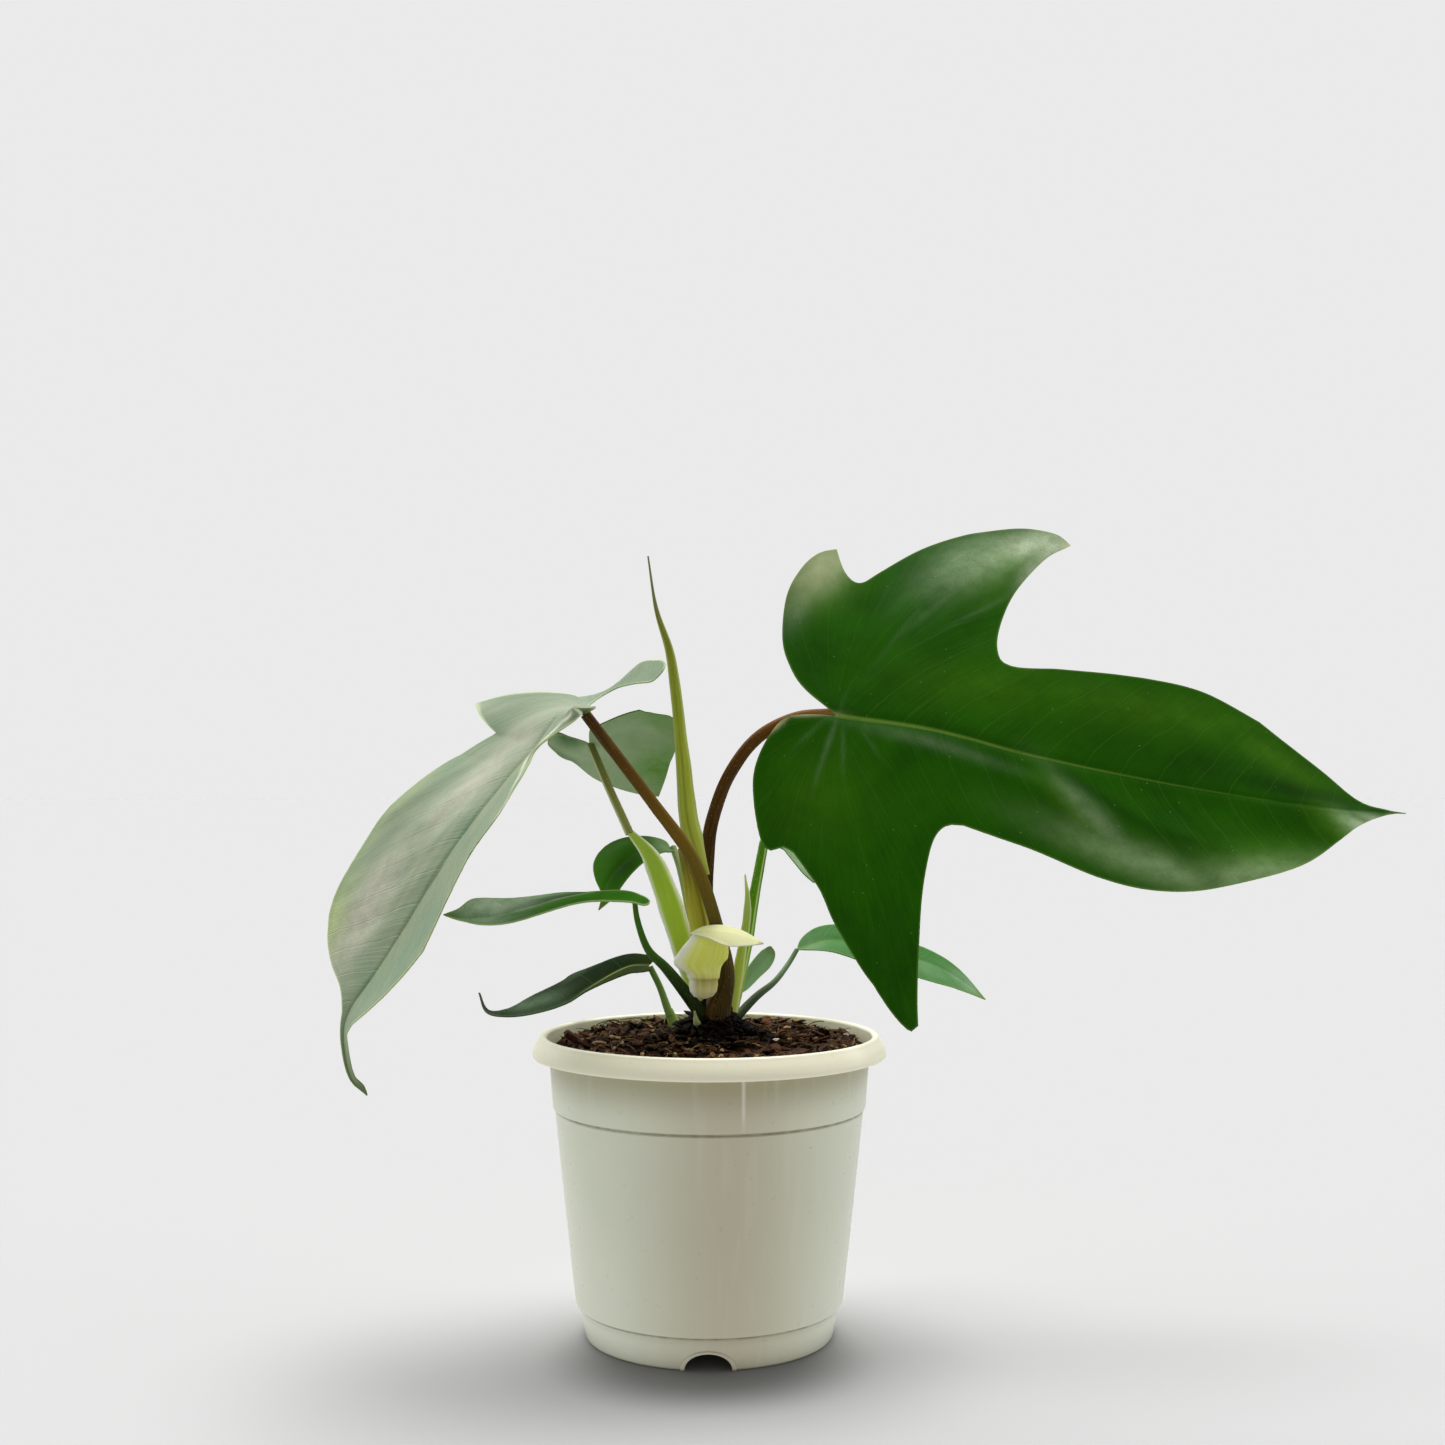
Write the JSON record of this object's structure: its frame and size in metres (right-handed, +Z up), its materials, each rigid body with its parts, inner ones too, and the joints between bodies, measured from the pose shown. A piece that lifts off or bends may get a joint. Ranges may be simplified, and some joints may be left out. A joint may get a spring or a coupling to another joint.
{
  "type": "potted philodendron",
  "caption": "Young philodendron with large lobed leaves, smaller plain leaves and a rolled new leaf on slender stalks, rooted in soil in a round plastic nursery pot.",
  "frame": {"origin": "the middle of the bounding box in X and Y, at the height of the surface that the pot stands on", "axes": "+Z up, along the pot's axis; -Y towards the front, which the largest leaf's upper side faces; +X along the greatest width, towards the largest leaf's tip"},
  "size_m": [0.3836, 0.138, 0.2875],
  "materials": {
    "pot_plastic": "semi-gloss cream moulded polypropylene",
    "soil": "matt crumbly potting mix",
    "stem": "dark rough stem base",
    "bud": "satin pale green",
    "cataphyll": "satin cream scale leaf",
    "leaf_green": "glossy deep green leaf",
    "leaf_pale": "satin leaf with a pale sheen",
    "leaf_under": "matt leaf underside",
    "leaf_dark": "satin dark leaf",
    "stalk_brown": "satin red-brown stalk",
    "stalk_olive": "satin olive stalk",
    "stalk_bright": "satin bright green stalk",
    "stalk_dark": "satin dark green stalk",
    "bark": "rough bark chip",
    "perlite": "matt porous bead"
  },
  "bodies": {
    "root": {"pot": "pot_plastic", "stem": "stem", "cataphyll": "cataphyll", "cataphyll_flap": "cataphyll", "bud": "bud", "leaf_right": "leaf_green", "leaf_left": "leaf_pale", "leaf_back": "leaf_under", "leaf_small": "leaf_green", "leaf_middle": "leaf_green", "leaf_low": "leaf_dark", "leaf_far": "leaf_green", "leaf_narrow": "leaf_under", "leaf_inner": "leaf_green", "petiole_left": "stalk_brown", "spear_leaf": "stalk_olive", "spear_sheath": "stalk_olive", "petiole_right": "stalk_brown", "sheath_back": "stalk_bright", "petiole_back": "stalk_dark", "petiole_small": "stalk_olive", "petiole_middle": "stalk_dark", "petiole_low": "stalk_dark", "sheath_low": "stalk_olive", "petiole_inner": "stalk_bright", "sheath_inner": "stalk_bright", "petiole_far": "stalk_dark", "bark_chip_1": "bark", "bark_chip_2": "bark", "bark_chip_3": "bark", "perlite_1": "perlite", "perlite_2": "perlite", "soil": "soil"}
  },
  "joints": []
}
